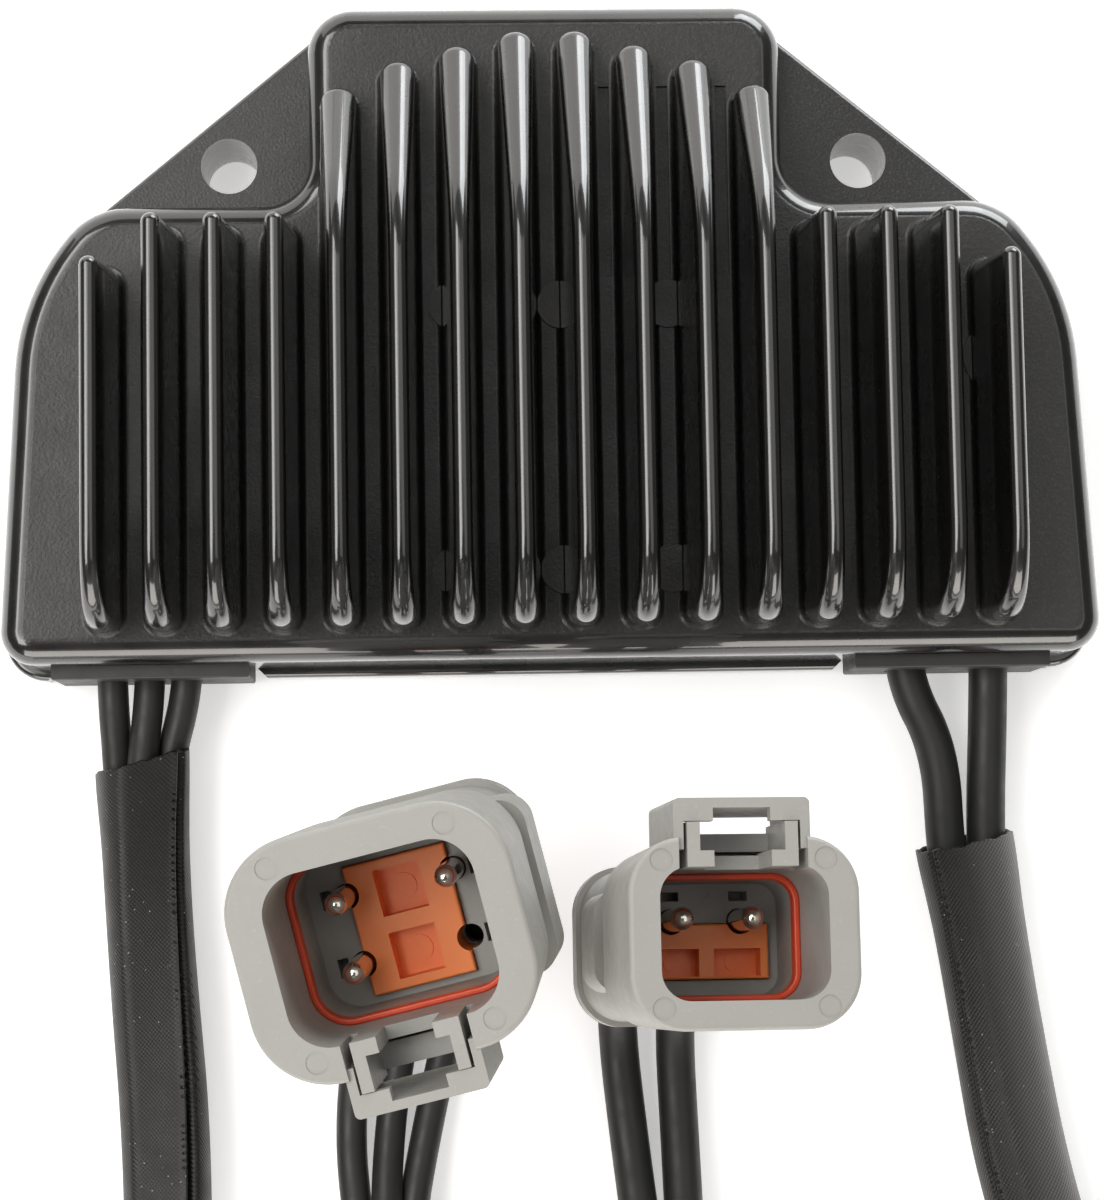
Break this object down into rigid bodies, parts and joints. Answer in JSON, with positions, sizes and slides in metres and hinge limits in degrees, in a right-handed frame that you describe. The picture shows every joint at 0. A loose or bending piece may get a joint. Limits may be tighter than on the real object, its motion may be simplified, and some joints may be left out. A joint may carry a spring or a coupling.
{
  "type": "voltage regulator rectifier",
  "caption": "Finned die-cast heat sink with two mounting ears, potted electronics and two sleeved leads that end in sealed receptacles.",
  "frame": {"origin": "middle of the casting's box, on the back plane that it is mounted by", "axes": "+Z out of the back towards the fin crests, +Y towards the mounting ears along the fins, +X across the fins"},
  "size_m": [0.1811, 0.2557, 0.0743],
  "materials": {
    "powder_coat": "satin black powder coat with a fine orange peel",
    "seal_rubber": "matt moulded rubber",
    "wire_insulation": "satin extruded insulation",
    "coated_sleeve": "varnished woven sleeving",
    "receptacle_grey": "moulded glass-filled nylon",
    "wedge_orange": "moulded thermoplastic",
    "silicone_red": "silicone seal",
    "contact_plating": "nickel-plated contact",
    "plug_white": "moulded sealing plug",
    "potting_resin": "poured resin",
    "insulator_pad": "thermal pad",
    "substrate_aluminium": "plain plate",
    "board_laminate": "glass-epoxy laminate with solder mask",
    "device_epoxy": "moulded epoxy package",
    "capacitor_can": "drawn can",
    "lug_brass": "tinned terminal block"
  },
  "bodies": {
    "root": {"capacitor": "capacitor_can", "circuit_board": "board_laminate", "control_chip": "device_epoxy", "diode_1": "device_epoxy", "diode_2": "device_epoxy", "diode_3": "device_epoxy", "four_way_front_seal": "silicone_red", "four_way_housing": "receptacle_grey", "four_way_pin_1": "contact_plating", "four_way_pin_2": "contact_plating", "four_way_pin_3": "contact_plating", "four_way_rear_seal": "silicone_red", "four_way_sealing_plug": "plug_white", "four_way_wedge": "wedge_orange", "four_way_wire_1": "wire_insulation", "four_way_wire_2": "wire_insulation", "four_way_wire_3": "wire_insulation", "heat_sink": "powder_coat", "insulating_sheet": "insulator_pad", "output_lug_1": "lug_brass", "output_lug_2": "lug_brass", "output_seal": "seal_rubber", "output_sleeve": "coated_sleeve", "output_wire_1": "wire_insulation", "output_wire_2": "wire_insulation", "potting": "potting_resin", "power_substrate": "substrate_aluminium", "stator_lug_1": "lug_brass", "stator_lug_2": "lug_brass", "stator_lug_3": "lug_brass", "stator_seal": "seal_rubber", "stator_sleeve": "coated_sleeve", "stator_wire_1": "wire_insulation", "stator_wire_2": "wire_insulation", "stator_wire_3": "wire_insulation", "thyristor_1": "device_epoxy", "thyristor_2": "device_epoxy", "thyristor_3": "device_epoxy", "two_way_front_seal": "silicone_red", "two_way_housing": "receptacle_grey", "two_way_pin_1": "contact_plating", "two_way_pin_2": "contact_plating", "two_way_rear_seal": "silicone_red", "two_way_wedge": "wedge_orange", "two_way_wire_1": "wire_insulation", "two_way_wire_2": "wire_insulation"}
  },
  "joints": []
}
